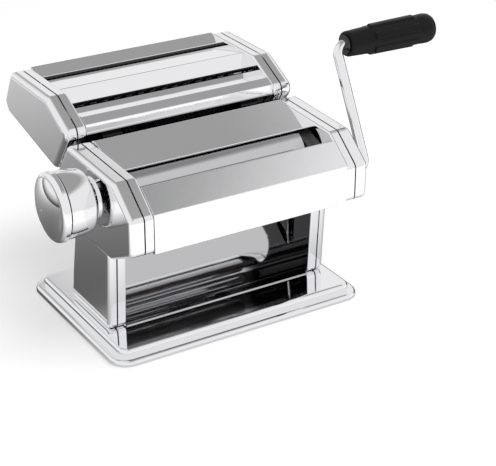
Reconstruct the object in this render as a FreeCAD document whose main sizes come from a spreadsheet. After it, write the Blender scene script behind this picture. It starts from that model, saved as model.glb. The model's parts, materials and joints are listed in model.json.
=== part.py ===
import FreeCAD, Part
import os
import re
import Sketcher
from FreeCAD import Placement, Rotation, Vector

# Pasta roller machine with a lift-off cutter head.
# Origin: middle of the base underside. +X is the crank side, -Y the front, +Z up. Millimetres.

SIZES = {
    # Sheet thicknesses and running clearances
    "side_sheet": 1.0,
    "panel_sheet": 0.8,
    "run_gap": 0.04,
    "seat_gap": 0.02,
    # Pressed base
    "base_half_long": 108.8,
    "base_half_deep": 76.4,
    "base_top": 12.5,
    "base_step": 6.5,
    "base_rim": 6.5,
    "base_corner": 15.0,
    "foot_rad": 7.0,
    "foot_inset": 22.0,
    # Side housings, stacked outward along X from the ends of the smooth rollers
    "web_in": 8.0,
    "plate_out": 7.2,
    "cover_in": 1.1,
    "cheek_out": 11.0,
    "leg_out": 6.4,
    "corner_rad": 5.5,
    "cover_edge": 4.0,
    "plate_edge": 1.6,
    # Cheek outline
    "top_front_y": -62.0,
    "top_front_z": 142.8,
    "nose_y": -87.0,
    "nose_high_z": 123.0,
    "nose_low_z": 96.0,
    "chin_y": -54.0,
    "cheek_low_z": 80.0,
    "tail_y": 26.0,
    "heel_y": 33.0,
    "heel_z": 100.0,
    "back_z": 115.0,
    "top_back_y": 11.5,
    "top_back_z": 145.0,
    # Leg outline
    "leg_front_low": -38.0,
    "leg_front_high": -42.0,
    "leg_back_low": 27.5,
    "leg_back_high": 14.0,
    "slot_y": -13.0,
    "slot_half": 4.6,
    "slot_low_z": 31.0,
    "slot_high_z": 60.0,
    # Panels between the side plates
    "lip_y": -68.2,
    "lip_z": 137.4,
    "face_y": -86.0,
    "face_high_z": 123.9,
    "face_low_z": 94.6,
    "tray_front_y": -32.0,
    "tray_front_z": 136.4,
    "tray_back_y": 4.0,
    "tray_back_z": 146.4,
    "slide_rad": 45.0,
    "slide_foot_deg": 12.0,
    "slide_wall_deg": 64.0,
    "slide_top_z": 76.0,
    # Seat of the cutter head: a line down the back of the frame
    "seat_y": 9.0,
    "seat_z": 145.0,
    "seat_run_y": 0.5736,
    "seat_run_z": -0.8192,
    "seat_long": 37.0,
    "rail_thick": 6.3,
    # Smooth rollers
    "front_axis_y": -60.0,
    "front_axis_z": 105.0,
    "rear_axis_y": -26.5,
    "rear_axis_z": 118.2,
    "axis_tilt": 21.505,
    "roller_rad": 16.8,
    "roller_half": 73.0,
    "journal_rad": 8.0,
    "bush_rad": 10.0,
    "gear_in": 6.8,
    "gear_long": 6.5,
    "gear_pitch_rad": 17.0,
    "gear_teeth": 17,
    "tooth_tall": 1.75,
    "tooth_half": 1.25,
    "socket_half": 3.1,
    "socket_deep": 18.0,
    # Adjuster and knob
    "block_half": 13.0,
    "block_reach": 19.5,
    "carrier_u": 16.5,
    "carrier_v": 11.0,
    "block_in": 2.5,
    "block_out": 11.5,
    "spindle_rad": 4.0,
    "throw": 1.0,
    "cam_rad": 5.0,
    "knob_near": 4.7,
    "knob_far": 24.0,
    "knob_tip": 10.0,
    "knob_rad": 26.0,
    "knob_back_rad": 22.5,
    "knob_edge": 4.5,
    # Crank
    "crank_plane": 17.7,
    "crank_rod_rad": 4.0,
    "crank_rise_y": 44.5,
    "crank_rise_z": 85.0,
    "crank_bend": 8.0,
    "grip_near": 9.0,
    "grip_far": 82.0,
    "grip_rad": 12.6,
    "grip_neck": 8.5,
    # Cutter head outline
    "cap_out": 9.7,
    "head_top_z": 170.0,
    "head_top_back": 113.0,
    "head_top_front": 47.0,
    "head_brow_y": 15.5,
    "head_brow_z": 154.0,
    "head_jaw_y": 15.0,
    "head_jaw_z": 146.5,
    "head_toe_y": 37.0,
    "head_toe_z": 115.5,
    "head_heel_y": 122.0,
    "head_heel_z": 133.0,
    "head_back_y": 128.0,
    "head_back_z": 142.0,
    "head_corner": 7.0,
    # Cutter rollers
    "cutter_rad": 10.5,
    "cutter_half": 71.4,
    "cutter_gap": 19.0,
    "cutter_journal": 4.0,
    "cutter_bush": 6.0,
    "groove_deep": 2.6,
    "disc_gap": 0.2,
    "fine_mid_y": 95.5,
    "fine_mid_z": 152.5,
    "wide_mid_y": 49.0,
    "wide_mid_z": 144.8,
    "fine_mouth": 4.6,
    "wide_mouth": 4.4,
    "fine_count": 34,
    "wide_count": 14,
    "cutter_teeth": 16,
    # Tie rods and screws
    "tie_rad": 3.0,
    "tie_past": 5.0,
    "nut_half": 5.0,
    "nut_thick": 3.6,
    "tie_nose_y": -76.0,
    "tie_nose_z": 118.0,
    "tie_tail_y": 12.0,
    "tie_tail_z": 93.0,
    "tie_leg_y": 13.5,
    "tie_leg_z": 36.0,
    "head_tie_mid_y": 72.0,
    "head_tie_mid_z": 136.0,
    "head_tie_back_y": 117.5,
    "head_tie_back_z": 143.0,
    "head_tie_front_y": 25.5,
    "head_tie_front_z": 150.0,
    "screw_in": 4.0,
    "screw_front_y": -28.0,
    "screw_back_y": 17.0,
    "screw_rad": 1.8,
    "screw_long": 5.5,
    "screw_head_rad": 3.4,
    "screw_head_tall": 2.2,
}

# Levels along X that follow from the sizes above, from the middle outward
LEVELS = {
    "web": "roller_half + web_in",
    "plate_face": "web + plate_out",
    "cover": "plate_face + cover_in",
    "cheek_face": "cover + cheek_out",
    "leg_face": "cover + leg_out",
    "cap_face": "cover + cap_out",
    "gear_face": "web + gear_in",
    "block_face": "roller_half + block_in",
    "block_back": "block_face + block_out",
    "knob_back": "cheek_face + knob_near",
    "knob_rim": "knob_back + knob_far",
    "knob_top": "knob_rim + knob_tip",
    "arm": "cheek_face + crank_plane",
    "grip_start": "arm + grip_near",
    "grip_end": "grip_start + grip_far",
}

doc = FreeCAD.newDocument("PastaRoller")
sheet = doc.addObject("Spreadsheet::Sheet", "Sizes")
pieces = []


def fill_sheet():
    """Write each driving dimension into its own named cell."""
    for row, (alias, number) in enumerate(SIZES.items(), start=1):
        sheet.set("A%d" % row, alias)
        sheet.set("B%d" % row, str(number))
        sheet.setAlias("B%d" % row, alias)
    doc.recompute()


def cell(text):
    """Turn the bare names in an expression into references to the sheet."""
    def name(match):
        word = match.group(0)
        if word in LEVELS:
            return "(" + cell(LEVELS[word]) + ")"
        return "Sizes." + word if word in SIZES else word
    return re.sub(r"[a-z][a-z_]+", name, str(text))


def value(text):
    """Number that an expression gives at present."""
    return float(sheet.evalExpression(cell(text)))


def bind(thing, path, text):
    """Tie a property to an expression over the sheet."""
    thing.setExpression(path, cell(text))


def finish(thing, label):
    """Give a finished piece its label and list it for export."""
    thing.Label = label
    pieces.append(thing)
    return thing


def place(thing, x="0", y="0", z="0", roll="0"):
    """Put a piece at its seat, turned about X by roll degrees."""
    thing.Placement = Placement(Vector(), Rotation(Vector(1, 0, 0), value(roll)))
    bind(thing, "Placement.Base.x", x)
    bind(thing, "Placement.Base.y", y)
    bind(thing, "Placement.Base.z", z)
    bind(thing, "Placement.Rotation.Angle", roll)
    return thing


def new_body(label):
    return finish(doc.addObject("PartDesign::Body", label), label)


def new_sketch(body, plane):
    """Empty sketch on one of the body's own origin planes."""
    sketch = body.newObject("Sketcher::SketchObject", body.Name + "_sketch")
    support = [item for item in body.Origin.OriginFeatures if item.Role == plane][0]
    sketch.AttachmentSupport = [(support, "")]
    sketch.MapMode = "FlatFace"
    return sketch


def pin_vertex(sketch, geo, end, point):
    """Hold a vertex at its two coordinates."""
    for kind, text in zip(("DistanceX", "DistanceY"), point):
        index = sketch.addConstraint(Sketcher.Constraint(kind, -1, 1, geo, end, value(text)))
        bind(sketch, "Constraints[%d]" % index, text)


def add_lines(sketch, points, closed=True):
    """Chain of straight lines through points, each bound to the sheet."""
    spots = [Vector(value(u), value(v), 0) for u, v in points]
    count = len(spots) if closed else len(spots) - 1
    lines = []
    for i in range(count):
        line = Part.LineSegment(spots[i], spots[(i + 1) % len(spots)])
        lines.append(sketch.addGeometry(line, False))
    for i in range(count if closed else count - 1):
        follower = lines[(i + 1) % count]
        sketch.addConstraint(Sketcher.Constraint("Coincident", lines[i], 2, follower, 1))
    for i in range(count):
        pin_vertex(sketch, lines[i], 1, points[i])
    if not closed:
        pin_vertex(sketch, lines[-1], 2, points[-1])
    return lines


def add_bow(sketch, start, stop, rad, side):
    """Arc between two points that bulges to the left (1) or the right (-1) of the way along it."""
    begin = Vector(value(start[0]), value(start[1]), 0)
    end = Vector(value(stop[0]), value(stop[1]), 0)
    chord = end - begin
    out = Vector(-chord.y, chord.x, 0).normalize() * side
    sag = value(rad) - (value(rad) ** 2 - chord.Length ** 2 / 4) ** 0.5
    geo = sketch.addGeometry(Part.Arc(begin, begin + chord * 0.5 + out * sag, end), False)
    reach = [(Vector(sketch.getPoint(geo, spot)) - begin).Length for spot in (1, 2)]
    index = sketch.addConstraint(Sketcher.Constraint("Radius", geo, value(rad)))
    bind(sketch, "Constraints[%d]" % index, rad)
    return (geo, 2, 1) if reach[0] > reach[1] else (geo, 1, 2)


def add_profile(sketch, points):
    """Closed profile; a point with a radius and a side starts an arc, any other a straight line."""
    runs = []
    for i, point in enumerate(points):
        after = points[(i + 1) % len(points)]
        if len(point) > 2:
            runs.append(add_bow(sketch, point[:2], after[:2], point[2], point[3]))
        else:
            ends = [Vector(value(u), value(v), 0) for u, v in (point[:2], after[:2])]
            runs.append((sketch.addGeometry(Part.LineSegment(*ends), False), 1, 2))
    for i, (geo, first, last) in enumerate(runs):
        next_geo, next_first = runs[(i + 1) % len(runs)][:2]
        sketch.addConstraint(Sketcher.Constraint("Coincident", geo, last, next_geo, next_first))
        pin_vertex(sketch, geo, first, points[i][:2])


def add_circle(sketch, u, v, rad):
    circle = Part.Circle(Vector(value(u), value(v), 0), Vector(0, 0, 1), value(rad))
    geo = sketch.addGeometry(circle, False)
    pin_vertex(sketch, geo, 3, (u, v))
    index = sketch.addConstraint(Sketcher.Constraint("Radius", geo, value(rad)))
    bind(sketch, "Constraints[%d]" % index, rad)


def outline(body, plane, points):
    sketch = new_sketch(body, plane)
    add_lines(sketch, points)
    return sketch


def circles(body, plane, rings):
    sketch = new_sketch(body, plane)
    for u, v, rad in rings:
        add_circle(sketch, u, v, rad)
    return sketch


def pad(body, sketch, length, reverse=False, middle=False):
    feature = body.newObject("PartDesign::Pad", body.Name + "_pad")
    feature.Profile = sketch
    bind(feature, "Length", length)
    feature.Reversed = reverse
    feature.Midplane = middle
    doc.recompute()
    return feature


def cut(body, sketch, length, reverse=False, middle=True):
    """Pocket that has to take some metal away."""
    before = body.Shape.Volume
    feature = body.newObject("PartDesign::Pocket", body.Name + "_pocket")
    feature.Profile = sketch
    bind(feature, "Length", length)
    feature.Reversed = reverse
    feature.Midplane = middle
    doc.recompute()
    if before - body.Shape.Volume < 0.01:
        raise RuntimeError(body.Label + ": a pocket cuts nothing")
    return feature


def spin(body, sketch, kind="PartDesign::Revolution"):
    """Turn a profile about the body's X axis."""
    feature = body.newObject(kind, body.Name + "_turn")
    feature.Profile = sketch
    feature.ReferenceAxis = (sketch, ["H_Axis"])
    feature.Angle = 360
    doc.recompute()
    return feature


def dress(body, kind, names, path, amount):
    """Fillet, chamfer or shell the latest feature of a body."""
    feature = body.newObject(kind, body.Name + "_dress")
    feature.Base = (body.Tip if body.Tip != feature else feature.BaseFeature, names)
    bind(feature, path, amount)
    doc.recompute()
    return feature


def edges_along(shape, axis):
    """Names of the straight edges that run along an axis."""
    names = []
    for i, edge in enumerate(shape.Edges, start=1):
        heading = edge.tangentAt(edge.FirstParameter)
        if edge.Curve.TypeId == "Part::GeomLine" and abs(heading.dot(axis)) > 0.999:
            names.append("Edge%d" % i)
    return names


def faces_at(shape, axis, level):
    """Names of the flat faces square to an axis at a level along it."""
    names = []
    for i, face in enumerate(shape.Faces, start=1):
        flat = face.Surface.TypeId == "Part::GeomPlane"
        if flat and abs(abs(face.normalAt(0, 0).dot(axis)) - 1) < 1e-6:
            if abs(face.CenterOfMass.dot(axis) - level) < 1e-4:
                names.append("Face%d" % i)
    return names


def rim_of(shape, face_names):
    """Names of the edges around some faces."""
    rim = [edge for name in face_names for edge in shape.getElement(name).Edges]
    return ["Edge%d" % i for i, edge in enumerate(shape.Edges, start=1)
            if any(edge.isSame(other) for other in rim)]


def local_shape(body):
    """Shape of the body's tip in the body's own frame."""
    return body.Tip.Shape


def pan(label, side, near, far, points, edge_rad, opens_out, corner="corner_rad"):
    """Stamped pan: padded outline, rounded corners and face edge, then shelled."""
    body = new_body(label)
    place(body, x=near if side > 0 else "-(" + near + ")")
    depth = far + " - " + near
    pad(body, outline(body, "YZ_Plane", points), depth, reverse=side < 0)
    along = Vector(1, 0, 0)
    dress(body, "PartDesign::Fillet", edges_along(local_shape(body), along), "Radius", corner)
    reach = side * value(depth)
    closed_level, open_level = (0.0, reach) if opens_out else (reach, 0.0)
    shape = local_shape(body)
    rim = rim_of(shape, faces_at(shape, along, closed_level))
    dress(body, "PartDesign::Fillet", rim, "Radius", edge_rad)
    mouth = faces_at(local_shape(body), along, open_level)
    shell = dress(body, "PartDesign::Thickness", mouth, "Value", "side_sheet")
    shell.Reversed = True
    shell.Join = "Intersection"
    doc.recompute()
    return body


def turned(label, profile, x="0", y="0", z="0"):
    """Round piece about X from (x, radius) points."""
    body = new_body(label)
    sketch = new_sketch(body, "XZ_Plane")
    add_profile(sketch, profile)
    spin(body, sketch)
    return place(body, x, y, z)


def folded(label, points, thick, half_long):
    """Bent sheet: an open fold line given thickness and drawn out along X."""
    line = doc.addObject("Sketcher::SketchObject", label + "_fold")
    line.Placement = Placement(Vector(), Rotation(Vector(1, 1, 1), 120))
    add_lines(line, points, closed=False)
    doc.recompute()
    skin = doc.addObject("Part::Offset2D", label + "_skin")
    skin.Source = line
    skin.Fill = True
    skin.Join = "Arc"
    bind(skin, "Value", thick)
    doc.recompute()
    panel = doc.addObject("Part::Extrusion", label)
    panel.Base = skin
    panel.DirMode = "Custom"
    panel.Dir = Vector(1, 0, 0)
    panel.Solid = True
    bind(panel, "LengthFwd", half_long)
    bind(panel, "LengthRev", half_long)
    return finish(panel, label)


def rod(label, x, y, z, rad, length):
    """Plain cylinder along X that starts at x."""
    item = doc.addObject("Part::Cylinder", label)
    item.Placement = Placement(Vector(), Rotation(Vector(0, 1, 0), 90))
    bind(item, "Radius", rad)
    bind(item, "Height", length)
    bind(item, "Placement.Base.x", x)
    bind(item, "Placement.Base.y", y)
    bind(item, "Placement.Base.z", z)
    return item


def group(label, items):
    """Like pieces that share one node."""
    bundle = doc.addObject("Part::Compound", label)
    bundle.Links = items
    return finish(bundle, label)


def tube(label, x, y, z, outer, inner, length):
    """Plain bush along X that starts at x."""
    body = rod(label + "_outer", x, y, z, outer, length)
    bore = rod(label + "_bore", x, y, z, inner, length)
    ring = doc.addObject("Part::Cut", label)
    ring.Base = body
    ring.Tool = bore
    return ring


def both(x_near, length, make):
    """Make the same piece on the crank side and on the knob side."""
    return [make("right", x_near), make("left", "-(" + x_near + ") - (" + length + ")")]


CHEEK = [
    ("top_front_y", "top_front_z"), ("nose_y", "nose_high_z"), ("nose_y", "nose_low_z"),
    ("chin_y", "cheek_low_z"), ("tail_y", "cheek_low_z"), ("heel_y", "heel_z"),
    ("heel_y", "back_z"), ("top_back_y", "top_back_z"),
]
LEG = [
    ("leg_front_high", "cheek_low_z - 0.1"), ("leg_front_low", "base_top + 0.05"),
    ("leg_back_low", "base_top + 0.05"), ("leg_back_high", "cheek_low_z - 0.1"),
]
SIDE = [
    ("top_front_y", "top_front_z"), ("nose_y", "nose_high_z"), ("nose_y", "nose_low_z"),
    ("chin_y", "cheek_low_z"), ("leg_front_high", "cheek_low_z"),
    ("leg_front_low", "base_top + 0.05"), ("leg_back_low", "base_top + 0.05"),
    ("leg_back_high", "cheek_low_z"), ("tail_y", "cheek_low_z"), ("heel_y", "heel_z"),
    ("heel_y", "back_z"), ("top_back_y", "top_back_z"),
]
HEAD = [
    ("head_top_back", "head_top_z"), ("head_top_front", "head_top_z"),
    ("head_brow_y", "head_brow_z"), ("head_jaw_y", "head_jaw_z"), ("head_toe_y", "head_toe_z"),
    ("head_heel_y", "head_heel_z"), ("head_back_y", "head_back_z"),
]
TIES = [(name + "_y", name + "_z") for name in ("tie_nose", "tie_tail", "tie_leg")]
HEAD_TIES = [(name + "_y", name + "_z") for name in ("head_tie_mid", "head_tie_back", "head_tie_front")]
SCREW_ROWS = ("screw_front_y", "screw_back_y")
CRANK_LEAN = "atan2(crank_rise_z; crank_rise_y)"
CUTTERS = {
    "fine_front": ("fine_mid_y - cutter_gap / 2", "fine_mid_z"),
    "fine_rear": ("fine_mid_y + cutter_gap / 2", "fine_mid_z"),
    "wide_front": ("wide_mid_y - cutter_gap / 2", "wide_mid_z"),
    "wide_rear": ("wide_mid_y + cutter_gap / 2", "wide_mid_z"),
}


def box_corners(half_u, half_v):
    return [("-(%s)" % half_u, "-(%s)" % half_v), (half_u, "-(%s)" % half_v),
            (half_u, half_v), ("-(%s)" % half_u, half_v)]


def base_plate():
    """Pressed tray with a stepped, rounded rim and an open underside."""
    body = new_body("base_plate")
    up = Vector(0, 0, 1)
    inset = box_corners("base_half_long - base_rim", "base_half_deep - base_rim")
    pad(body, outline(body, "XY_Plane", inset), "base_top")
    uprights = edges_along(local_shape(body), up)
    dress(body, "PartDesign::Fillet", uprights, "Radius", "base_corner - base_rim")
    pad(body, outline(body, "XY_Plane", box_corners("base_half_long", "base_half_deep")), "base_step")
    shape = local_shape(body)
    corners = [name for name in edges_along(shape, up)
               if abs(shape.getElement(name).BoundBox.XMax) > value("base_half_long") - 0.01]
    dress(body, "PartDesign::Fillet", corners, "Radius", "base_corner")
    for level in ("base_top", "base_step"):
        shape = local_shape(body)
        flat = shape.getElement(faces_at(shape, up, value(level))[0])
        rim = ["Edge%d" % i for i, edge in enumerate(shape.Edges, start=1)
               if any(edge.isSame(other) for other in flat.OuterWire.Edges)]
        dress(body, "PartDesign::Fillet", rim, "Radius", "base_step / 2")
    shell = dress(body, "PartDesign::Thickness", faces_at(local_shape(body), up, 0.0), "Value",
                  "panel_sheet")
    shell.Reversed = True
    shell.Join = "Intersection"
    doc.recompute()
    spots = [(x, y, "screw_rad + run_gap") for x in ("web + screw_in", "-web - screw_in") for y in SCREW_ROWS]
    cut(body, circles(body, "XY_Plane", spots), "4 * base_top")


def base_feet():
    feet = []
    for i, (right, back) in enumerate([(1, 1), (1, -1), (-1, 1), (-1, -1)]):
        foot = doc.addObject("Part::Cylinder", "foot_%d" % i)
        bind(foot, "Radius", "foot_rad")
        bind(foot, "Height", "base_top - panel_sheet - seat_gap")
        bind(foot, "Placement.Base.x", "%d * (base_half_long - foot_inset)" % right)
        bind(foot, "Placement.Base.y", "%d * (base_half_deep - foot_inset)" % back)
        feet.append(foot)
    group("base_feet", feet)


def base_screws():
    """Four pan-head screws up through the base into the leg flanges."""
    screws = []
    for i, (side, y) in enumerate((side, y) for side in (1, -1) for y in SCREW_ROWS):
        shank = doc.addObject("Part::Cylinder", "screw_shank_%d" % i)
        head = doc.addObject("Part::Cylinder", "screw_head_%d" % i)
        bind(shank, "Radius", "screw_rad")
        bind(shank, "Height", "screw_long")
        bind(head, "Radius", "screw_head_rad")
        bind(head, "Height", "screw_head_tall")
        head_z = "base_top - panel_sheet - screw_head_tall - seat_gap"
        for item, z in ((shank, "base_top - 1.5"), (head, head_z)):
            bind(item, "Placement.Base.x", "%d * (web + screw_in)" % side)
            bind(item, "Placement.Base.y", y)
            bind(item, "Placement.Base.z", z)
        screw = doc.addObject("Part::MultiFuse", "screw_%d" % i)
        screw.Shapes = [shank, head]
        screws.append(screw)
    group("base_screws", screws)


def inner_plate(name, side):
    """Side plate with bearing holes, the block window, tie-rod holes and the leg slot."""
    body = pan(name, side, "web", "plate_face", SIDE, "plate_edge", True)
    holes = [("front_axis_y", "front_axis_z", "bush_rad + seat_gap")]
    holes += [(y, z, "tie_rad + seat_gap") for y, z in TIES]
    cut(body, circles(body, "YZ_Plane", holes), "20")
    window = new_sketch(body, "YZ_Plane")
    add_lines(window, block_window())
    cut(body, window, "8")
    slot = outline(body, "YZ_Plane", [
        ("slot_y - slot_half", "slot_low_z"), ("slot_y + slot_half", "slot_low_z"),
        ("slot_y + slot_half", "slot_high_z"), ("slot_y - slot_half", "slot_high_z")])
    cut(body, slot, "8")
    ends = [name for name in edges_along(local_shape(body), Vector(1, 0, 0))
            if slot_corner(local_shape(body).getElement(name))]
    dress(body, "PartDesign::Fillet", ends, "Radius", "slot_half - 0.05")
    spots = [("%d * screw_in" % side, y, "screw_rad + run_gap") for y in SCREW_ROWS]
    cut(body, circles(body, "XY_Plane", spots), "4 * base_top")


def slot_corner(edge):
    """True for an edge at a corner of the leg slot."""
    middle = edge.CenterOfMass
    across = abs(abs(middle.y - value("slot_y")) - value("slot_half")) < 1e-4
    return across and min(abs(middle.z - value("slot_low_z")), abs(middle.z - value("slot_high_z"))) < 1e-4


def block_window():
    """Tilted window in which a bearing block slides."""
    corners = []
    for u, v in (("-block_half - 2 * throw - 0.4", "-block_half - run_gap"),
                 ("block_reach + 0.3", "-block_half - run_gap"),
                 ("block_reach + 0.3", "block_half + run_gap"),
                 ("-block_half - 2 * throw - 0.4", "block_half + run_gap")):
        turn = "axis_tilt * 1 deg"
        corners.append((
            "rear_axis_y + (%s) * cos(%s) - (%s) * sin(%s)" % (u, turn, v, turn),
            "rear_axis_z + (%s) * sin(%s) + (%s) * cos(%s)" % (u, turn, v, turn)))
    return corners


def cheek_cover(name, side):
    body = pan(name, side, "cover", "cheek_face", CHEEK, "cover_edge", False)
    if side > 0:
        bore = [("front_axis_y", "front_axis_z", "journal_rad + 1.5 + seat_gap")]
    else:
        bore = [("rear_axis_y", "rear_axis_z", "spindle_rad + 2 + seat_gap")]
    cut(body, circles(body, "YZ_Plane", bore), "60")


def leg_cover(name, side):
    pan(name, side, "cover", "leg_face", LEG, "cover_edge - 0.5", False)


def panels():
    """Front panel, feed tray with the back wall, and their hems."""
    ends = "web - seat_gap"
    folded("front_panel", [
        ("lip_y + 1.6", "lip_z - 4"), ("lip_y", "lip_z"), ("face_y", "face_high_z"),
        ("face_y", "face_low_z"), ("face_y + 8", "face_low_z - 0.5")], "panel_sheet", ends)
    folded("feed_tray", [
        ("tray_front_y", "tray_front_z"), ("tray_back_y", "tray_back_z"), ("seat_y", "seat_z"),
        ("seat_y + seat_long * seat_run_y", "seat_z + seat_long * seat_run_z"),
        ("seat_y + seat_long * seat_run_y - 6", "seat_z + seat_long * seat_run_z - 4")],
        "panel_sheet * -1", ends)


def dough_slide():
    """Sheet that carries the rolled dough out over the base: a steep wall with a swept foot."""
    foot, wall = "slide_foot_deg * 1 deg", "slide_wall_deg * 1 deg"
    low = ("leg_front_low", "base_top + 0.05")
    bend = ("%s + slide_rad * (sin(%s) - sin(%s))" % (low[0], wall, foot),
            "%s + slide_rad * (cos(%s) - cos(%s))" % (low[1], foot, wall))
    high = ("%s + (slide_top_z - (%s)) / tan(%s)" % (bend[0], bend[1], wall), "slide_top_z")

    def upper_face(point, lean):
        y, z = point
        return ("%s - panel_sheet * sin(%s)" % (y, lean), "%s + panel_sheet * cos(%s)" % (z, lean))

    body = new_body("dough_slide")
    sketch = new_sketch(body, "YZ_Plane")
    add_profile(sketch, [
        low + ("slide_rad", -1), bend, high, upper_face(high, wall),
        upper_face(bend, wall) + ("slide_rad - panel_sheet", 1), upper_face(low, foot)])
    pad(body, sketch, "2 * web - 2 * seat_gap", middle=True)


def tie_rods():
    rods = [rod("tie_%d" % i, "-web - tie_past", y, z, "tie_rad", "2 * (web + tie_past)")
            for i, (y, z) in enumerate(TIES)]
    group("tie_rods", rods)
    group("tie_nuts", nuts("tie_nut", TIES))


def nuts(label, ties):
    """Hexagon nuts on both ends of the tie rods, outside the plates."""
    items = []
    for i, (y, z) in enumerate(ties):
        for side, x in (("right", "web + side_sheet + seat_gap"),
                        ("left", "-web - side_sheet - seat_gap - nut_thick")):
            name = "%s_%s_%d" % (label, side, i)
            hexagon = doc.addObject("Part::Prism", name + "_hex")
            hexagon.Polygon = 6
            hexagon.Placement = Placement(Vector(), Rotation(Vector(0, 1, 0), 90))
            bind(hexagon, "Circumradius", "nut_half")
            bind(hexagon, "Height", "nut_thick")
            bind(hexagon, "Placement.Base.x", x)
            bind(hexagon, "Placement.Base.y", y)
            bind(hexagon, "Placement.Base.z", z)
            nut = doc.addObject("Part::Cut", name)
            nut.Base = hexagon
            nut.Tool = rod(name + "_bore", x, y, z, "tie_rad + seat_gap", "nut_thick")
            items.append(nut)
    return items


def seat_rails():
    """Two rails on the back wall that the cutter head slides down on."""
    rails = []
    for side, x in (("right", "52"), ("left", "-68")):
        rail = doc.addObject("Part::Box", "seat_rail_" + side)
        bind(rail, "Length", "16")
        bind(rail, "Width", "rail_thick")
        bind(rail, "Height", "seat_long - 8")
        rail.Placement = Placement(Vector(), Rotation(Vector(1, 0, 0), 35))
        bind(rail, "Placement.Base.x", x)
        lift = "(panel_sheet + seat_gap)"
        bind(rail, "Placement.Base.y", "seat_y + (seat_long - 3) * seat_run_y - %s * seat_run_z" % lift)
        bind(rail, "Placement.Base.z", "seat_z + (seat_long - 3) * seat_run_z + %s * seat_run_y" % lift)
        rails.append(rail)
    group("seat_rails", rails)


def smooth_rollers():
    """Driven front roller with the crank socket and adjustable rear roller."""
    socket_end = "gear_face + gear_long + 2"
    front = turned("front_roller", [
        ("-web - 4", "0"), (socket_end, "0"), (socket_end, "journal_rad"),
        ("roller_half", "journal_rad"), ("roller_half", "roller_rad"),
        ("-roller_half", "roller_rad"), ("-roller_half", "journal_rad"),
        ("-web - 4", "journal_rad")], y="front_axis_y", z="front_axis_z")
    socket = outline(front, "YZ_Plane", box_corners("socket_half", "socket_half"))
    bind(socket, "AttachmentOffset.Base.z", socket_end)
    doc.recompute()
    cut(front, socket, "socket_deep", middle=False)
    place(front, "0", "front_axis_y", "front_axis_z", CRANK_LEAN)
    turned("rear_roller", [
        ("-block_face - 5", "0"), ("gear_face + gear_long", "0"), ("gear_face + gear_long", "journal_rad"),
        ("roller_half", "journal_rad"), ("roller_half", "roller_rad"),
        ("-roller_half", "roller_rad"), ("-roller_half", "journal_rad"),
        ("-block_face - 5", "journal_rad")], y="rear_axis_y", z="rear_axis_z")


def front_bushes():
    items = both("roller_half + 0.5", "web_in + 3", lambda side, x: tube(
        "front_bush_" + side, x, "front_axis_y", "front_axis_z", "bush_rad",
        "journal_rad + run_gap", "web_in + 3"))
    group("front_bushes", items)


def gear(label, pitch_rad, teeth, tall, half, long, bore):
    """Spur gear: root disc, one tooth, polar pattern, bore."""
    body = new_body(label)
    root = "(%s) - 1.2 * (%s)" % (pitch_rad, tall)
    pad(body, circles(body, "YZ_Plane", [("0", "0", root)]), long)
    tooth = outline(body, "YZ_Plane", [
        ("-1.35 * (%s)" % half, root + " - 0.4"), ("1.35 * (%s)" % half, root + " - 0.4"),
        (half, pitch_rad), ("0.5 * (%s)" % half, "(%s) + (%s)" % (pitch_rad, tall)),
        ("-0.5 * (%s)" % half, "(%s) + (%s)" % (pitch_rad, tall)), ("-(%s)" % half, pitch_rad)])
    single = pad(body, tooth, long)
    ring = body.newObject("PartDesign::PolarPattern", label + "_ring")
    ring.Originals = [single]
    ring.Axis = ([item for item in body.Origin.OriginFeatures if item.Role == "X_Axis"][0], [""])
    ring.Angle = 360
    bind(ring, "Occurrences", teeth)
    body.Tip = ring
    doc.recompute()
    cut(body, circles(body, "YZ_Plane", [("0", "0", bore)]), "40")
    return body


def roller_gears():
    for name, y, z in (("front_gear", "front_axis_y", "front_axis_z"),
                       ("rear_gear", "rear_axis_y", "rear_axis_z")):
        wheel = gear(name, "gear_pitch_rad", "gear_teeth", "tooth_tall", "tooth_half", "gear_long",
                     "journal_rad + seat_gap")
        place(wheel, "gear_face", y, z, "axis_tilt - 90")


def bearing_block(name, side):
    """Sliding block with the roller bearing; the knob side also has the cam window."""
    body = new_body(name)
    deep = "block_back - block_face"
    plan = outline(body, "YZ_Plane", [
        ("-block_half", "-block_half"), ("block_reach", "-block_half"), ("block_reach", "block_half"),
        ("-block_half", "block_half")])
    pad(body, plan, deep, reverse=side < 0)
    place(body, "block_face" if side > 0 else "-block_face", "rear_axis_y", "rear_axis_z", "axis_tilt")
    doc.recompute()
    bearing = circles(body, "YZ_Plane", [("0", "0", "journal_rad + run_gap")])
    cut(body, bearing, "60" if side > 0 else "2 * 5.5")
    hole = circles(body, "YZ_Plane", [("carrier_u", "carrier_v", "2 + seat_gap")])
    cut(body, hole, "2 * 6")
    if side < 0:
        window = outline(body, "YZ_Plane", [
            ("throw - cam_rad - 0.3", "-cam_rad - throw - 0.3"),
            ("throw + cam_rad + 0.3", "-cam_rad - throw - 0.3"),
            ("throw + cam_rad + 0.3", "cam_rad + throw + 0.3"),
            ("throw - cam_rad - 0.3", "cam_rad + throw + 0.3")])
        bind(window, "AttachmentOffset.Base.z", "block_face - block_back")
        doc.recompute()
        cut(body, window, "5", reverse=True, middle=False)


def carrier_rod():
    """Rod that ties the two bearing blocks into one carrier."""
    turn = "axis_tilt * 1 deg"
    y = "rear_axis_y + carrier_u * cos(%s) - carrier_v * sin(%s)" % (turn, turn)
    z = "rear_axis_z + carrier_u * sin(%s) + carrier_v * cos(%s)" % (turn, turn)
    tie = rod("carrier_rod", "-block_face - 5.9", y, z, "2", "2 * block_face + 11.8")
    finish(tie, "carrier_rod")


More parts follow.
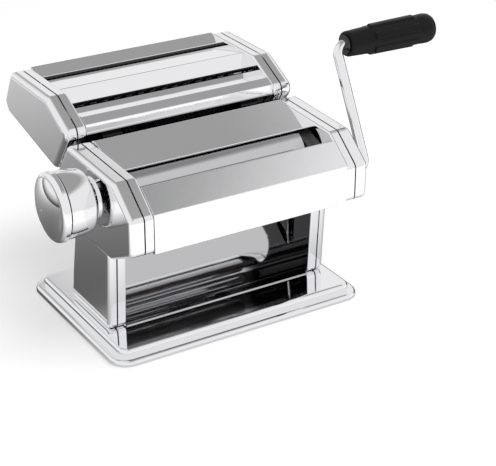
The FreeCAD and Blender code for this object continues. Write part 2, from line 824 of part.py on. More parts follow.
def scraper(label, y, z, tip_angle, half_long):
    """Plastic blade whose edge stands just off a roller."""
    body = new_body(label)
    pad(body, outline(body, "YZ_Plane", [
        ("-0.6", "-roller_rad - 0.3"), ("-3", "-roller_rad - 7"), ("3", "-roller_rad - 7"),
        ("0.6", "-roller_rad - 0.3")]), "2 * (%s)" % half_long, middle=True)
    place(body, "0", y, z, tip_angle)


def knob():
    """Domed knob in two pieces on the adjuster spindle, with its spring, pin and screw."""
    y, z = "rear_axis_y", "rear_axis_z"
    turned("adjuster_spindle", [
        ("-knob_rim + 1", "0"), ("-block_back - 0.3", "0"), ("-block_back - 0.3", "spindle_rad + 3"),
        ("-block_back - 3", "spindle_rad + 3"), ("-block_back - 3", "spindle_rad"),
        ("-knob_rim + 1", "spindle_rad")], y=y, z=z)
    spindle = pieces[-1]
    cam = circles(spindle, "YZ_Plane", [("throw * cos(axis_tilt * 1 deg)",
                                         "throw * sin(axis_tilt * 1 deg)", "cam_rad")])
    bind(cam, "AttachmentOffset.Base.z", "-block_back - 0.3")
    doc.recompute()
    pad(spindle, cam, "4.8")
    bore = "spindle_rad + run_gap"
    turned("knob_body", [
        ("-knob_back", bore), ("-knob_back", "knob_back_rad - 2", "4", -1),
        ("-knob_back - 3", "knob_back_rad + 1.2", "60", -1),
        ("-knob_rim + 3.2", "knob_rad - 1.4"), ("-knob_rim + 3.2", "9"), ("-knob_back - 4", "9"),
        ("-knob_back - 4", bore)], y=y, z=z)
    dome_tall = "(knob_tip - knob_edge)"
    dome_wide = "(knob_rad - knob_edge + 0.6)"
    dome = "(%s ^ 2 + %s ^ 2) / (2 * %s)" % (dome_tall, dome_wide, dome_tall)
    turned("knob_cap", [
        ("-knob_rim + 3.2 - seat_gap", "10.5"), ("-knob_rim + 3.2 - seat_gap", "knob_rad - 2.6"),
        ("-knob_rim + 2", "knob_rad - 2.6"), ("-knob_rim + 2", "knob_rad - 0.6", "0.6", -1),
        ("-knob_rim + 1.4", "knob_rad"), ("-knob_rim - 1.4", "knob_rad", "knob_edge", -1),
        ("-knob_rim - knob_edge", dome_wide, dome, -1),
        ("-knob_top", "0"), ("-knob_rim - 6.6", "0"),
        ("-knob_rim - 6.4", "10.5")], y=y, z=z)
    turned("knob_screw", [
        ("-knob_rim + 1 - seat_gap", "0"), ("-knob_rim + 1 - seat_gap", "7"), ("-knob_rim - 0.8", "7"),
        ("-knob_rim - 0.8", "0")], y=y, z=z)
    spring_long = "knob_rim - knob_back - 12"
    coil = doc.addObject("Part::Helix", "spring_line")
    bind(coil, "Pitch", "(%s) / 5" % spring_long)
    bind(coil, "Height", spring_long)
    bind(coil, "Radius", "6")
    wire = doc.addObject("Part::Circle", "spring_wire")
    bind(wire, "Radius", "0.6")
    wire.Placement = Placement(Vector(value("6"), 0, 0), Rotation(Vector(1, 0, 0), 90))
    doc.recompute()
    spring = doc.addObject("Part::Sweep", "knob_spring")
    spring.Sections = [wire]
    spring.Spine = (coil, ["Edge%d" % (i + 1) for i in range(len(coil.Shape.Edges))])
    spring.Solid = True
    spring.Frenet = True
    spring.Placement = Placement(Vector(), Rotation(Vector(0, 1, 0), -90))
    bind(spring, "Placement.Base.x", "-knob_back - 10.2")
    bind(spring, "Placement.Base.y", y)
    bind(spring, "Placement.Base.z", z)
    finish(spring, "knob_spring")
    finish(rod("detent_pin", "-knob_back", y, "rear_axis_z + 12", "1.5", "knob_back - cheek_face - 1.75"),
           "detent_pin")


def knob_seat():
    """Bush through the cheek cover and the ring with the setting dimples."""
    finish(tube("spindle_bush", "-cheek_face - 0.6", "rear_axis_y", "rear_axis_z", "spindle_rad + 2",
                "spindle_rad + run_gap", "6"), "spindle_bush")
    ring = turned("index_ring", [
        ("-cheek_face - 1.5", "spindle_rad + 2.1"), ("-cheek_face - 1.5", "16"),
        ("-cheek_face - seat_gap", "16"), ("-cheek_face - seat_gap", "spindle_rad + 2.1")],
        y="rear_axis_y", z="rear_axis_z")
    dimple = circles(ring, "YZ_Plane", [("0", "12", "1.1")])
    bind(dimple, "AttachmentOffset.Base.z", "-cheek_face")
    doc.recompute()
    single = cut(ring, dimple, "8")
    settings = ring.newObject("PartDesign::PolarPattern", "index_settings")
    settings.Originals = [single]
    settings.Axis = ([item for item in ring.Origin.OriginFeatures if item.Role == "X_Axis"][0], [""])
    settings.Angle = 360
    settings.Occurrences = 12
    ring.Tip = settings
    doc.recompute()


def crank_path(body):
    """Centre line of the rod: socket leg, bend, arm, bend, grip leg."""
    path = new_sketch(body, "XY_Plane")
    far = "sqrt(crank_rise_y ^ 2 + crank_rise_z ^ 2)"
    near_x, arm_x, grip_x = "arm - crank_bend", "arm", "arm + crank_bend"
    legs = [
        (("cheek_face - 1", "0"), (near_x, "0")),
        ((arm_x, "crank_bend"), (arm_x, far + " - crank_bend")),
        ((grip_x, far), ("grip_end - 4", far)),
    ]
    bends = [(near_x, "crank_bend", 1, -1), (grip_x, far + " - crank_bend", -1, 1)]
    for i, (start, stop) in enumerate(legs):
        add_lines(path, [start, stop], closed=False)
        if i < 2:
            u, v, to_u, to_v = bends[i]
            middle = Vector(value(u) + to_u * value("crank_bend") * 0.5 ** 0.5,
                            value(v) + to_v * value("crank_bend") * 0.5 ** 0.5, 0)
            after = legs[i + 1][0]
            arc = Part.Arc(Vector(value(stop[0]), value(stop[1]), 0), middle,
                           Vector(value(after[0]), value(after[1]), 0))
            geo = path.addGeometry(arc, False)
            pin_vertex(path, geo, 3, (u, v))
            index = path.addConstraint(Sketcher.Constraint("Radius", geo, value("crank_bend")))
            bind(path, "Constraints[%d]" % index, "crank_bend")
    doc.recompute()
    return path


def crank():
    """Bent rod with a square tip, a loose grip and the washer that stops it."""
    body = new_body("crank_rod")
    path = crank_path(body)
    ring = circles(body, "YZ_Plane", [("0", "0", "crank_rod_rad")])
    bind(ring, "AttachmentOffset.Base.z", "cheek_face - 1")
    doc.recompute()
    pipe = body.newObject("PartDesign::AdditivePipe", "crank_pipe")
    pipe.Profile = ring
    pipe.Spine = (path, ["Edge%d" % (i + 1) for i in range(5)])
    doc.recompute()
    tip = outline(body, "YZ_Plane", box_corners("socket_half - 0.1", "socket_half - 0.1"))
    bind(tip, "AttachmentOffset.Base.z", "gear_face + gear_long + 4 - socket_deep")
    doc.recompute()
    pad(body, tip, "cheek_face - gear_face - gear_long - 4 + socket_deep")
    place(body, "0", "front_axis_y", "front_axis_z", CRANK_LEAN)
    at_y, at_z = "front_axis_y + crank_rise_y", "front_axis_z + crank_rise_z"
    bore = "crank_rod_rad + run_gap"
    grip = turned("crank_grip", [
        ("grip_start", bore), ("grip_start", "grip_neck - 0.8", "0.8", 1),
        ("grip_start + 0.8", "grip_neck"), ("grip_start + 3", "grip_neck", "14", -1),
        ("grip_start + 10", "grip_rad - 1.6", "46", 1), ("grip_start + 24", "grip_rad", "400", 1),
        ("grip_end - 5.4", "grip_rad - 0.8", "5.4", 1), ("grip_end", "grip_rad - 6.2"), ("grip_end", "0"),
        ("grip_end - 3", "0"), ("grip_end - 3", bore)], y=at_y, z=at_z)
    flute = circles(grip, "YZ_Plane", [("0", "grip_rad + 4.6", "5.4")])
    bind(flute, "AttachmentOffset.Base.z", "grip_start + 12")
    doc.recompute()
    single = cut(grip, flute, "grip_end - grip_start - 24", reverse=True, middle=False)
    flutes = grip.newObject("PartDesign::PolarPattern", "grip_flutes")
    flutes.Originals = [single]
    flutes.Axis = ([item for item in grip.Origin.OriginFeatures if item.Role == "X_Axis"][0], [""])
    flutes.Angle = 360
    flutes.Occurrences = 10
    grip.Tip = flutes
    doc.recompute()
    finish(tube("grip_washer", "arm + crank_bend + seat_gap", at_y, at_z, "grip_neck - 1",
                "crank_rod_rad + seat_gap", "grip_start - arm - crank_bend - 0.06"), "grip_washer")
    finish(tube("crank_grommet", "cheek_face - 3.5", "front_axis_y", "front_axis_z", "journal_rad + 1.5",
                "crank_rod_rad + 1", "4.2"), "crank_grommet")


def cutter_plate(name, side):
    body = pan(name, side, "web", "plate_face", HEAD, "plate_edge", True, "head_corner")
    holes = [(y, z, "cutter_bush + seat_gap") for y, z in CUTTERS.values()]
    holes += [(y, z, "tie_rad - 0.5 + seat_gap") for y, z in HEAD_TIES]
    cut(body, circles(body, "YZ_Plane", holes), "8")


def cutter_cap(name, side):
    body = pan(name, side, "cover", "cap_face", HEAD, "cover_edge + 0.8", False, "head_corner")
    if side > 0:
        bores = [CUTTERS[key] + ("cutter_journal + 0.5",) for key in ("fine_front", "wide_front")]
        cut(body, circles(body, "YZ_Plane", bores), "60")


def cutter_panels():
    ends = "web - seat_gap"
    folded("cutter_back_panel", [
        ("head_heel_y - 3", "head_heel_z + 1.5"), ("head_back_y - 1.6", "head_back_z + 0.2"),
        ("head_top_back - 1.4", "head_top_z"), ("fine_mid_y + fine_mouth + 1", "head_top_z - 5.2"),
        ("fine_mid_y + fine_mouth", "head_top_z - 6.8")], "panel_sheet", ends)
    folded("cutter_ridge", [
        ("fine_mid_y - fine_mouth", "head_top_z - 6.8"), ("fine_mid_y - fine_mouth - 1", "head_top_z - 5.2"),
        ("wide_mid_y + 12", "head_top_z - 2"), ("wide_mid_y + wide_mouth + 0.2", "head_top_z - 11.4"),
        ("wide_mid_y + wide_mouth", "head_top_z - 13.5")], "panel_sheet", ends)
    folded("cutter_front_panel", [
        ("wide_mid_y - wide_mouth", "head_top_z - 14"),
        ("wide_mid_y - wide_mouth - 0.8", "head_top_z - 12.6"),
        ("head_brow_y + 9", "head_brow_z + 4"), ("head_brow_y + 2.4", "head_brow_z + 0.6"),
        ("head_jaw_y + 2", "head_jaw_z + 1"),
        ("head_jaw_y + 2 + 34 * seat_run_y", "head_jaw_z + 1 + 34 * seat_run_z")],
        "panel_sheet", ends)


def cutter_roller(name, spot, count, shifted):
    """Grooved cutting roller; its discs run in the grooves of its twin."""
    y, z = spot
    right_end = "web + 12.5"
    body = turned(name, [
        ("-web - 3", "0"), (right_end, "0"), (right_end, "cutter_journal"),
        ("cutter_half", "cutter_journal"), ("cutter_half", "cutter_rad"),
        ("-cutter_half", "cutter_rad"), ("-cutter_half", "cutter_journal"),
        ("-web - 3", "cutter_journal")], y=y, z=z)
    pitch = "2 * cutter_half / " + count
    first = "-cutter_half" if shifted else "-cutter_half + (%s) / 2" % pitch
    wide = "((%s) / 4 + disc_gap / 2)" % pitch
    ring = outline(body, "XZ_Plane", [
        ("%s - %s" % (first, wide), "cutter_rad - groove_deep"),
        ("%s + %s" % (first, wide), "cutter_rad - groove_deep"),
        ("%s + %s" % (first, wide), "cutter_rad + 1"), ("%s - %s" % (first, wide), "cutter_rad + 1")])
    groove = spin(body, ring, "PartDesign::Groove")
    row = body.newObject("PartDesign::LinearPattern", name + "_row")
    row.Originals = [groove]
    row.Direction = (ring, ["H_Axis"])
    bind(row, "Length", "2 * cutter_half" if shifted else "2 * cutter_half - " + pitch)
    bind(row, "Occurrences", count + " + 1" if shifted else count)
    body.Tip = row
    doc.recompute()


def comb(name, spot, count, shifted, lean):
    """Stripping comb: a bar with a tooth in every groove of its roller."""
    body = new_body(name)
    y, z = spot
    pad(body, outline(body, "YZ_Plane", [
        ("-1.6", "-cutter_rad - 4"), ("1.6", "-cutter_rad - 4"), ("1.6", "-cutter_rad - 0.5"),
        ("-1.6", "-cutter_rad - 0.5")]), "2 * web - 2 * seat_gap", middle=True)
    pitch = "2 * cutter_half / " + count
    first = "(-cutter_half + %s)" % pitch if shifted else "(-cutter_half + (%s) / 2)" % pitch
    half = "((%s) / 4 - disc_gap)" % pitch
    tooth = outline(body, "XZ_Plane", [
        ("%s - %s" % (first, half), "-cutter_rad - 1"), ("%s + %s" % (first, half), "-cutter_rad - 1"),
        ("%s + %s" % (first, half), "-cutter_rad + 1.6"), ("%s - %s" % (first, half), "-cutter_rad + 1.6")])
    single = pad(body, tooth, "2", middle=True)
    row = body.newObject("PartDesign::LinearPattern", name + "_row")
    row.Originals = [single]
    row.Direction = (tooth, ["H_Axis"])
    bind(row, "Length", "2 * cutter_half - 2 * (%s)" % pitch if shifted else "2 * cutter_half - " + pitch)
    bind(row, "Occurrences", count + " - 1" if shifted else count)
    body.Tip = row
    doc.recompute()
    place(body, "0", y, z, lean)


def cutter_gears():
    pitch_rad = "cutter_gap / 2"
    for key, spot in CUTTERS.items():
        bore = "cutter_journal + seat_gap"
        wheel = gear(key + "_gear", pitch_rad, "cutter_teeth", "1.0", "0.72", "5", bore)
        lean = "-90" if key.endswith("front") else "-90 + 180 / cutter_teeth"
        place(wheel, "web + 4.5", spot[0], spot[1], lean)


def cutter_head():
    for name, side in (("left", -1), ("right", 1)):
        cutter_plate(name + "_cutter_plate", side)
        cutter_cap(name + "_end_cap", side)
    cutter_panels()
    for key, spot in CUTTERS.items():
        count = "fine_count" if key.startswith("fine") else "wide_count"
        rear = key.endswith("rear")
        cutter_roller(key + "_cutter", spot, count, rear)
        comb(key + "_comb", spot, count, rear, "30" if rear else "-30")
    cutter_gears()
    reach = "(cap_face - side_sheet - seat_gap)"
    rods = [rod("head_tie_%d" % i, "-" + reach, y, z, "tie_rad - 0.5", "2 * " + reach)
            for i, (y, z) in enumerate(HEAD_TIES)]
    group("cutter_tie_rods", rods)
    bushes = []
    for key, (y, z) in CUTTERS.items():
        long = "web + 0.4 - cutter_half"
        bushes += both("cutter_half + 4", long, lambda side, x: tube(
            "%s_bush_%s" % (key, side), x, y, z, "cutter_bush", "cutter_journal + run_gap", long))
    group("cutter_bushes", bushes)


def frame():
    base_plate()
    base_feet()
    base_screws()
    for name, side in (("left", -1), ("right", 1)):
        inner_plate(name + "_inner_plate", side)
        cheek_cover(name + "_cheek_cover", side)
        leg_cover(name + "_leg_cover", side)
    panels()
    dough_slide()
    tie_rods()
    seat_rails()
    front_bushes()
    scraper("front_scraper", "front_axis_y", "front_axis_z", "28", "web - seat_gap")


def rollers():
    smooth_rollers()
    roller_gears()
    bearing_block("left_bearing_block", -1)
    bearing_block("right_bearing_block", 1)
    carrier_rod()
    scraper("rear_scraper", "rear_axis_y", "rear_axis_z", "75", "block_face - seat_gap")


def check_document():
    """Stop before anything is written if a feature or a piece is not sound."""
    for item in doc.Objects:
        if "Invalid" in item.State or "Error" in item.State:
            raise RuntimeError("feature not sound: " + item.Label)
    for piece in pieces:
        if piece.Shape.isNull() or not piece.Shape.isValid():
            raise RuntimeError("shape not sound: " + piece.Label)


def export():
    os.makedirs("parts", exist_ok=True)
    for piece in pieces:
        piece.Shape.exportStep("parts/%s.step" % piece.Label)


fill_sheet()
frame()
rollers()
knob()
knob_seat()
crank()
cutter_head()
doc.recompute()
check_document()
export()
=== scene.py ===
import json
import math

import bmesh
import bpy
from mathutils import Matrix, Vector


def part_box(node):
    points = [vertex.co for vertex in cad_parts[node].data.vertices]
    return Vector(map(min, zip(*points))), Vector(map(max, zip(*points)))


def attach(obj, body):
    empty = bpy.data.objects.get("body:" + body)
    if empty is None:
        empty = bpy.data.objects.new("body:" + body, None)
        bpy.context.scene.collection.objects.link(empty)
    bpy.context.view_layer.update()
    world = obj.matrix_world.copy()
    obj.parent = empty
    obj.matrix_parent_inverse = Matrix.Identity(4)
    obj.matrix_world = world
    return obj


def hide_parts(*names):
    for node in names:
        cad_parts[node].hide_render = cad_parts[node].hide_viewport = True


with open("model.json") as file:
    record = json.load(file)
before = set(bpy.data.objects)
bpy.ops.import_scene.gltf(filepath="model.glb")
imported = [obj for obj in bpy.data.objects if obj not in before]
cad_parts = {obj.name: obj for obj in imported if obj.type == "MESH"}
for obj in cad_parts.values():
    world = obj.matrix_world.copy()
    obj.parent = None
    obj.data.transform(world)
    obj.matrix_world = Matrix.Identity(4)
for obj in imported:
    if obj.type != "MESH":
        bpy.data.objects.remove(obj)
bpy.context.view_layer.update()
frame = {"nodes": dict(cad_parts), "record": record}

# Photograph's view: where the camera stands, in degrees and metres, and how long its lens is.
IMAGE_WIDE = 496
VIEW_YAW = 31.79
VIEW_PITCH = 26.41
VIEW_ROLL = 0.25
VIEW_TARGET = Vector((0.0317, -0.0274, 0.0568))
VIEW_DISTANCE = 1.134
VIEW_NEAREST = 0.01
FOCAL_PIXELS = 1462.0
SENSOR_MM = 36.0

# Finishes, and the painted shade of sheets, grooves and dark pieces, as linear colours.
CHROME_TINT = (0.93, 0.93, 0.945, 1.0)
STEEL_TINT = (0.62, 0.62, 0.635, 1.0)
BLACK_TINT = (0.007, 0.007, 0.0075, 1.0)
NYLON_TINT = (0.05, 0.05, 0.05, 1.0)
SLIDE_TINT = (0.58, 0.58, 0.59, 1.0)
# Painted shade: near-black put on sheets, rails and the washer where shade falls, not a colour of the
# steel.
PAINTED_SHADE_TINT = (0.05, 0.05, 0.052, 1.0)
# Painted shade: near-black for the narrow grooves of the cutters and the knob.
PAINTED_GROOVE_SHADE = (0.03, 0.03, 0.032, 1.0)
RUBBER_TINT = (0.02, 0.02, 0.021, 1.0)

# Grains per metre along X, Y and Z, and how finely they are broken up.
PRESS_WAVE = (22.0, 22.0, 22.0)
BUFF_HAIR = (60.0, 2600.0, 2600.0)
TOOL_RINGS = (5200.0, 24.0, 24.0)
TURNED_CLOUD = (90.0, 90.0, 90.0)
CUT_GRAIN = (900.0, 900.0, 900.0)
MOULD_GRAIN = (3000.0, 3000.0, 3000.0)
MOULD_WEAR = (70.0, 70.0, 70.0)
NYLON_CLOUD = (150.0, 150.0, 150.0)
RUBBER_GRAIN = (1800.0, 1800.0, 1800.0)
STREAK_DETAIL = 2.0
CLOUD_DETAIL = 3.0
CUT_DETAIL = 4.0
NOISE_MIDDLE = (0.3, 0.7)

# Roughness of each finish, from its smoothest to its dullest place.
SHEET_ROUGH = (0.035, 0.075)
TURNED_ROUGH = (0.05, 0.12)
CAP_ROUGH = (0.05, 0.10)
STEEL_ROUGH = (0.18, 0.30)
CUTTER_ROUGH = (0.14, 0.24)
PLASTIC_ROUGH = (0.30, 0.42)
NYLON_ROUGH = (0.40, 0.52)
RUBBER_ROUGH = (0.70, 0.85)

# How dark the darker patches of a finish are, against the rest of it.
SHEET_PATCH = 0.97
TURNED_PATCH = 0.95
STEEL_PATCH = 0.85
PLASTIC_PATCH = 0.7
NYLON_PATCH = 0.93
RUBBER_PATCH = 0.8

# Relief of each finish in metres, and the shine of plastic and the depth of nylon.
WAVE_RELIEF = 0.00010
HAIR_RELIEF = 0.0000012
RING_RELIEF = 0.0000015
CUT_RELIEF = 0.000008
MOULD_RELIEF = 0.00002
RUBBER_RELIEF = 0.00003
PLASTIC_SHINE = 0.15
NYLON_DEPTH = 0.05

# Painted shade in grooves, in metres: of the cutters below their rims, and of the knob behind its cap.
CUTTER_GROOVE_FADE = 0.0012
KNOB_GROOVE_WIDE = 0.0014
KNOB_GROOVE_EDGE = 0.0002
KNOB_GROOVE_SUNK = (0.0008, 0.0016)

# Painted shade on the sheets, near-black where shade falls: inside under the rollers, under the cutter head
# and on the slot lips.
# Each span has the surface's place in metres or its turn, an axis, the value up to which the sheet
# is clear, and the value from which it is painted in shade.
INSIDE = [("Normal", "X", 0.70, 0.95), ("Object", "Z", 0.120, 0.095)]
PAINTED_SHADE_SPANS = {
    "left_inner_plate": INSIDE,
    "right_inner_plate": INSIDE,
    "cutter_front_panel": [("Object", "Z", 0.1490, 0.1470)],
    "cutter_back_panel": [("Object", "Y", 0.1016, 0.1012), ("Object", "Z", 0.1652, 0.1648)],
    "cutter_ridge": [("Object", "Z", 0.1590, 0.1586)],
}

# Moulded grip: a core with a collar and a rounded end, and raised ribs along the middle. Places are
# shares of its length, reaches are shares of its greatest radius, and turns are in degrees.
GRIP_CORE = ((0.0, 0.74), (0.012, 0.78), (0.27, 0.85), (0.72, 0.875), (0.80, 0.895), (0.87, 0.925),
             (0.925, 0.925), (0.960, 0.88), (0.985, 0.77), (1.0, 0.60))
GRIP_RIB_TOP = ((0.0, 0.95), (0.27, 0.955), (0.78, 1.0), (1.0, 1.0))
GRIP_RIB_RISE = ((0.262, 0.0), (0.270, 1.0), (0.772, 1.0), (0.785, 0.0))
GRIP_RIBS = 6
GRIP_RIB_HALF = 17.0
GRIP_RIB_FLANK = 4.0
GRIP_RINGS = 120
GRIP_TURNS = 180
GRIP_DEGREES = [360.0 * step / GRIP_TURNS for step in range(GRIP_TURNS)]
GRIP_BORE = 0.00404
GRIP_END_WALL = 0.003
GRIP_SHARP = 38.0

# Studio: floor, tent, cards and lamp, in metres, linear shades and watts.
FLOOR_HALF = 6.0
FLOOR_PAPER = 0.80
FLOOR_LIFT = 0.36
AMBIENT = 0.72
TENT_RADIUS = 4.0
TENT_AROUND = 48
TENT_UP = 24
TENT_SHADE = 0.88
ROOF_SHADE = 0.36
ROOF_TOWARD = (-0.45, 0.25, 0.86)
ROOF_EDGE = (0.38, 0.56)
ROOF_SIDE = (1.0, 0.0, 0.0)
ROOF_SIDE_EDGE = (-0.35, 0.25)
# Each card's shades, the distances between which they run, the place from which these are measured,
# how much X, Y and Z count in them, and the card's corners.
CARDS = {
    "floor_card": {
        "shades": (0.08, 1.0), "span": (0.0, 0.85), "centre": (0.0, 0.06, 0.0), "weights": (0.35, 1.0, 0.0),
        "corners": [(-2.5, -0.16, 0.002), (2.5, -0.16, 0.002), (2.5, 0.91, 0.002), (-2.5, 0.91, 0.002)]},
    "left_dark_card": {
        "shades": (0.02, 0.95), "span": (0.02, 0.20), "centre": (0.0, 0.0, 0.0), "weights": (0.0, 0.0, 1.0),
        "corners": [(-0.9, -0.2, 0.0), (-0.9, 2.0, 0.0), (-0.9, 2.0, 0.20), (-0.9, -0.2, 0.20)]},
    "right_dark_card": {
        "shades": (0.02, 0.95), "span": (0.20, 0.50), "centre": (0.0, 0.0, 0.0), "weights": (0.0, 0.0, 1.0),
        "corners": [(1.0, -0.9, 0.0), (1.0, 1.5, 0.0), (1.0, 1.5, 0.50), (1.0, -0.9, 0.50)]},
}
CARD_FRONT = (-0.15, 0.02)
LAMP_PLACE = Vector((0.3, -0.5, 1.5))
LAMP_AIM = Vector((0.0, 0.0, 0.1))
LAMP_SIZE = (1.2, 0.9)
LAMP_WATTS = 12.0

SHARE = (0.0, 1.0)
ACROSS_X = (0.0, 1.0, 1.0)


def tree_of(owner):
    """The emptied node tree of a material or a world."""
    owner.use_nodes = True
    tree = owner.node_tree
    tree.nodes.clear()
    return tree


def shader(name, metallic=0.0):
    """A new material with one principled shader."""
    material = bpy.data.materials.new(name)
    tree = tree_of(material)
    output = tree.nodes.new("ShaderNodeOutputMaterial")
    bsdf = tree.nodes.new("ShaderNodeBsdfPrincipled")
    bsdf.inputs["Metallic"].default_value = metallic
    tree.links.new(bsdf.outputs["BSDF"], output.inputs["Surface"])
    return material, tree, bsdf


def glowing(name):
    """A new material that only glows, with the strength still to be given."""
    material = bpy.data.materials.new(name)
    tree = tree_of(material)
    output = tree.nodes.new("ShaderNodeOutputMaterial")
    glow = tree.nodes.new("ShaderNodeEmission")
    tree.links.new(glow.outputs["Emission"], output.inputs["Surface"])
    return material, tree, glow


def ranged(tree, value, span, ends=SHARE, curve="LINEAR"):
    """A value's span mapped to other ends, and held at them beyond it."""
    node = tree.nodes.new("ShaderNodeMapRange")
    node.interpolation_type = curve
    for socket, amount in zip(("From Min", "From Max", "To Min", "To Max"), (*span, *ends)):
        node.inputs[socket].default_value = amount
    tree.links.new(value, node.inputs["Value"])
    return node.outputs["Result"]


def scalar_step(tree, operation, one, other=None):
    """One step of arithmetic with one or two values."""
    node = tree.nodes.new("ShaderNodeMath")
    node.operation = operation
    tree.links.new(one, node.inputs[0])
    if other is not None:
        tree.links.new(other, node.inputs[1])
    return node.outputs["Value"]


def vector_step(tree, operation, vector, constant=None):
    """One step of arithmetic with a vector and a constant one."""
    node = tree.nodes.new("ShaderNodeVectorMath")
    node.operation = operation
    tree.links.new(vector, node.inputs[0])
    if constant is not None:
        node.inputs[1].default_value = constant
    return node


def place_of(tree, kind="Object"):
    """The surface's place in metres, or its turn."""
    return tree.nodes.new("ShaderNodeTexCoord").outputs[kind]


def axis_of(tree, kind, axis):
    """X, Y or Z of the surface's place or turn."""
    split = tree.nodes.new("ShaderNodeSeparateXYZ")
    tree.links.new(place_of(tree, kind), split.inputs["Vector"])
    return split.outputs[axis]


def distance(tree, centre, weights):
    """Distance from a centre in metres, with a weight for each of X, Y and Z."""
    offset = vector_step(tree, "SUBTRACT", place_of(tree), centre)
    weighed = vector_step(tree, "MULTIPLY", offset.outputs["Vector"], weights)
    return vector_step(tree, "LENGTH", weighed.outputs["Vector"]).outputs["Value"]


def reach_of(tree, node):
    """Distance from the axis of a round piece that lies along X, and the piece's radius."""
    low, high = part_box(node)
    return distance(tree, (low + high) / 2, ACROSS_X), (high.z - low.z) / 2


def noise(tree, scale, detail=CLOUD_DETAIL):
    """A noise in the part's own metres; scale gives the grains per metre along X, Y and Z."""
    mapping = tree.nodes.new("ShaderNodeMapping")
    mapping.inputs["Scale"].default_value = scale
    texture = tree.nodes.new("ShaderNodeTexNoise")
    texture.inputs["Scale"].default_value = 1.0
    texture.inputs["Detail"].default_value = detail
    tree.links.new(place_of(tree), mapping.inputs["Vector"])
    tree.links.new(mapping.outputs["Vector"], texture.inputs["Vector"])
    return texture.outputs["Fac"]


def spread(tree, factor, ends):
    """The noise's middle range stretched to run between two ends."""
    return ranged(tree, factor, NOISE_MIDDLE, ends)


def mixed(tree, share, last):
    """A mix that goes to a last colour with a share, and the socket of its first colour."""
    mix = tree.nodes.new("ShaderNodeMix")
    mix.data_type = "RGBA"
    mix.inputs["B"].default_value = last
    tree.links.new(share, mix.inputs["Factor"])
    return mix.outputs["Result"], mix.inputs["A"]


def tinted(tree, factor, colour, darker):
    """The colour, with patches that are a little darker."""
    result, first = mixed(tree, factor, colour)
    first.default_value = [level * darker for level in colour[:3]] + [1.0]
    return result


def groove_shaded(tree, share, tint):
    """The tint, turned to the painted shade of a groove by a share."""
    result, first = mixed(tree, share, PAINTED_GROOVE_SHADE)
    first.default_value = tint
    return result


def shade_painted(tree, spans, colour):
    """The colour, turned to the painted shade where every span says so."""
    shares = []
    for kind, axis, clear, shade_from in spans:
        size = scalar_step(tree, "ABSOLUTE", axis_of(tree, kind, axis))
        shares.append(ranged(tree, size, (clear, shade_from)))
    share = shares[0]
    for other in shares[1:]:
        share = scalar_step(tree, "MULTIPLY", share, other)
    result, first = mixed(tree, share, PAINTED_SHADE_TINT)
    tree.links.new(colour, first)
    return result


def bump(tree, factor, depth, base=None):
    """A relief of that depth in metres, on top of another where one is given."""
    node = tree.nodes.new("ShaderNodeBump")
    node.inputs["Strength"].default_value = 1.0
    node.inputs["Distance"].default_value = depth
    tree.links.new(factor, node.inputs["Height"])
    if base is not None:
        tree.links.new(base, node.inputs["Normal"])
    return node.outputs["Normal"]


def polished_sheet(name="polished_sheet", tint=CHROME_TINT, spans=()):
    """Mirror-polished pressed steel: a faint wave from the press and hairlines from the buffing."""
    material, tree, bsdf = shader(name, 1.0)
    wave = noise(tree, PRESS_WAVE)
    hair = noise(tree, BUFF_HAIR, STREAK_DETAIL)
    colour = tinted(tree, wave, tint, SHEET_PATCH)
    # Painted shade: the sheet turns near-black where its spans lie in shade.
    if spans:
        colour = shade_painted(tree, spans, colour)
    tree.links.new(colour, bsdf.inputs["Base Color"])
    tree.links.new(spread(tree, hair, SHEET_ROUGH), bsdf.inputs["Roughness"])
    relief = bump(tree, wave, WAVE_RELIEF)
    tree.links.new(bump(tree, hair, HAIR_RELIEF, relief), bsdf.inputs["Normal"])
    return material


def polished_turned(name="polished_turned", tint=CHROME_TINT):
    """Turned and polished steel: fine tool rings across the turning axis."""
    material, tree, bsdf = shader(name, 1.0)
    rings = noise(tree, TOOL_RINGS, STREAK_DETAIL)
    cloud = noise(tree, TURNED_CLOUD)
    tree.links.new(tinted(tree, cloud, tint, TURNED_PATCH), bsdf.inputs["Base Color"])
    tree.links.new(spread(tree, rings, TURNED_ROUGH), bsdf.inputs["Roughness"])
    tree.links.new(bump(tree, rings, RING_RELIEF), bsdf.inputs["Normal"])
    return material


def bright_steel():
    """Machined steel, left as cut."""
    material, tree, bsdf = shader("bright_steel", 1.0)
    grain = noise(tree, CUT_GRAIN, CUT_DETAIL)
    tree.links.new(tinted(tree, grain, STEEL_TINT, STEEL_PATCH), bsdf.inputs["Base Color"])
    tree.links.new(spread(tree, grain, STEEL_ROUGH), bsdf.inputs["Roughness"])
    tree.links.new(bump(tree, grain, CUT_RELIEF), bsdf.inputs["Normal"])
    return material


def cutter_steel(node):
    """Ground cutter: bright rims, and painted shade in the grooves below them."""
    material, tree, bsdf = shader(node + "_steel", 1.0)
    reach, rim = reach_of(tree, node)
    # Painted shade: below the rim the cutter's grooves turn near-black.
    share = ranged(tree, reach, (rim, rim - CUTTER_GROOVE_FADE))
    tree.links.new(groove_shaded(tree, share, CHROME_TINT), bsdf.inputs["Base Color"])
    grain = noise(tree, CUT_GRAIN, CUT_DETAIL)
    tree.links.new(spread(tree, grain, CUTTER_ROUGH), bsdf.inputs["Roughness"])
    return material


def knob_cap_steel(node):
    """Turned cap with painted shade as the dark line of the groove behind its rim."""
    material, tree, bsdf = shader(node + "_steel", 1.0)
    reach, rim = reach_of(tree, node)
    sunk = ranged(tree, reach, [rim - depth for depth in KNOB_GROOVE_SUNK])
    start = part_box(node)[1].x - KNOB_GROOVE_WIDE
    behind = ranged(tree, axis_of(tree, "Object", "X"), (start, start + KNOB_GROOVE_EDGE))
    # Painted shade: the sunk groove behind the cap's rim turns near-black.
    share = scalar_step(tree, "MULTIPLY", sunk, behind)
    tree.links.new(groove_shaded(tree, share, CHROME_TINT), bsdf.inputs["Base Color"])
    cloud = noise(tree, TURNED_CLOUD)
    tree.links.new(spread(tree, cloud, CAP_ROUGH), bsdf.inputs["Roughness"])
    return material


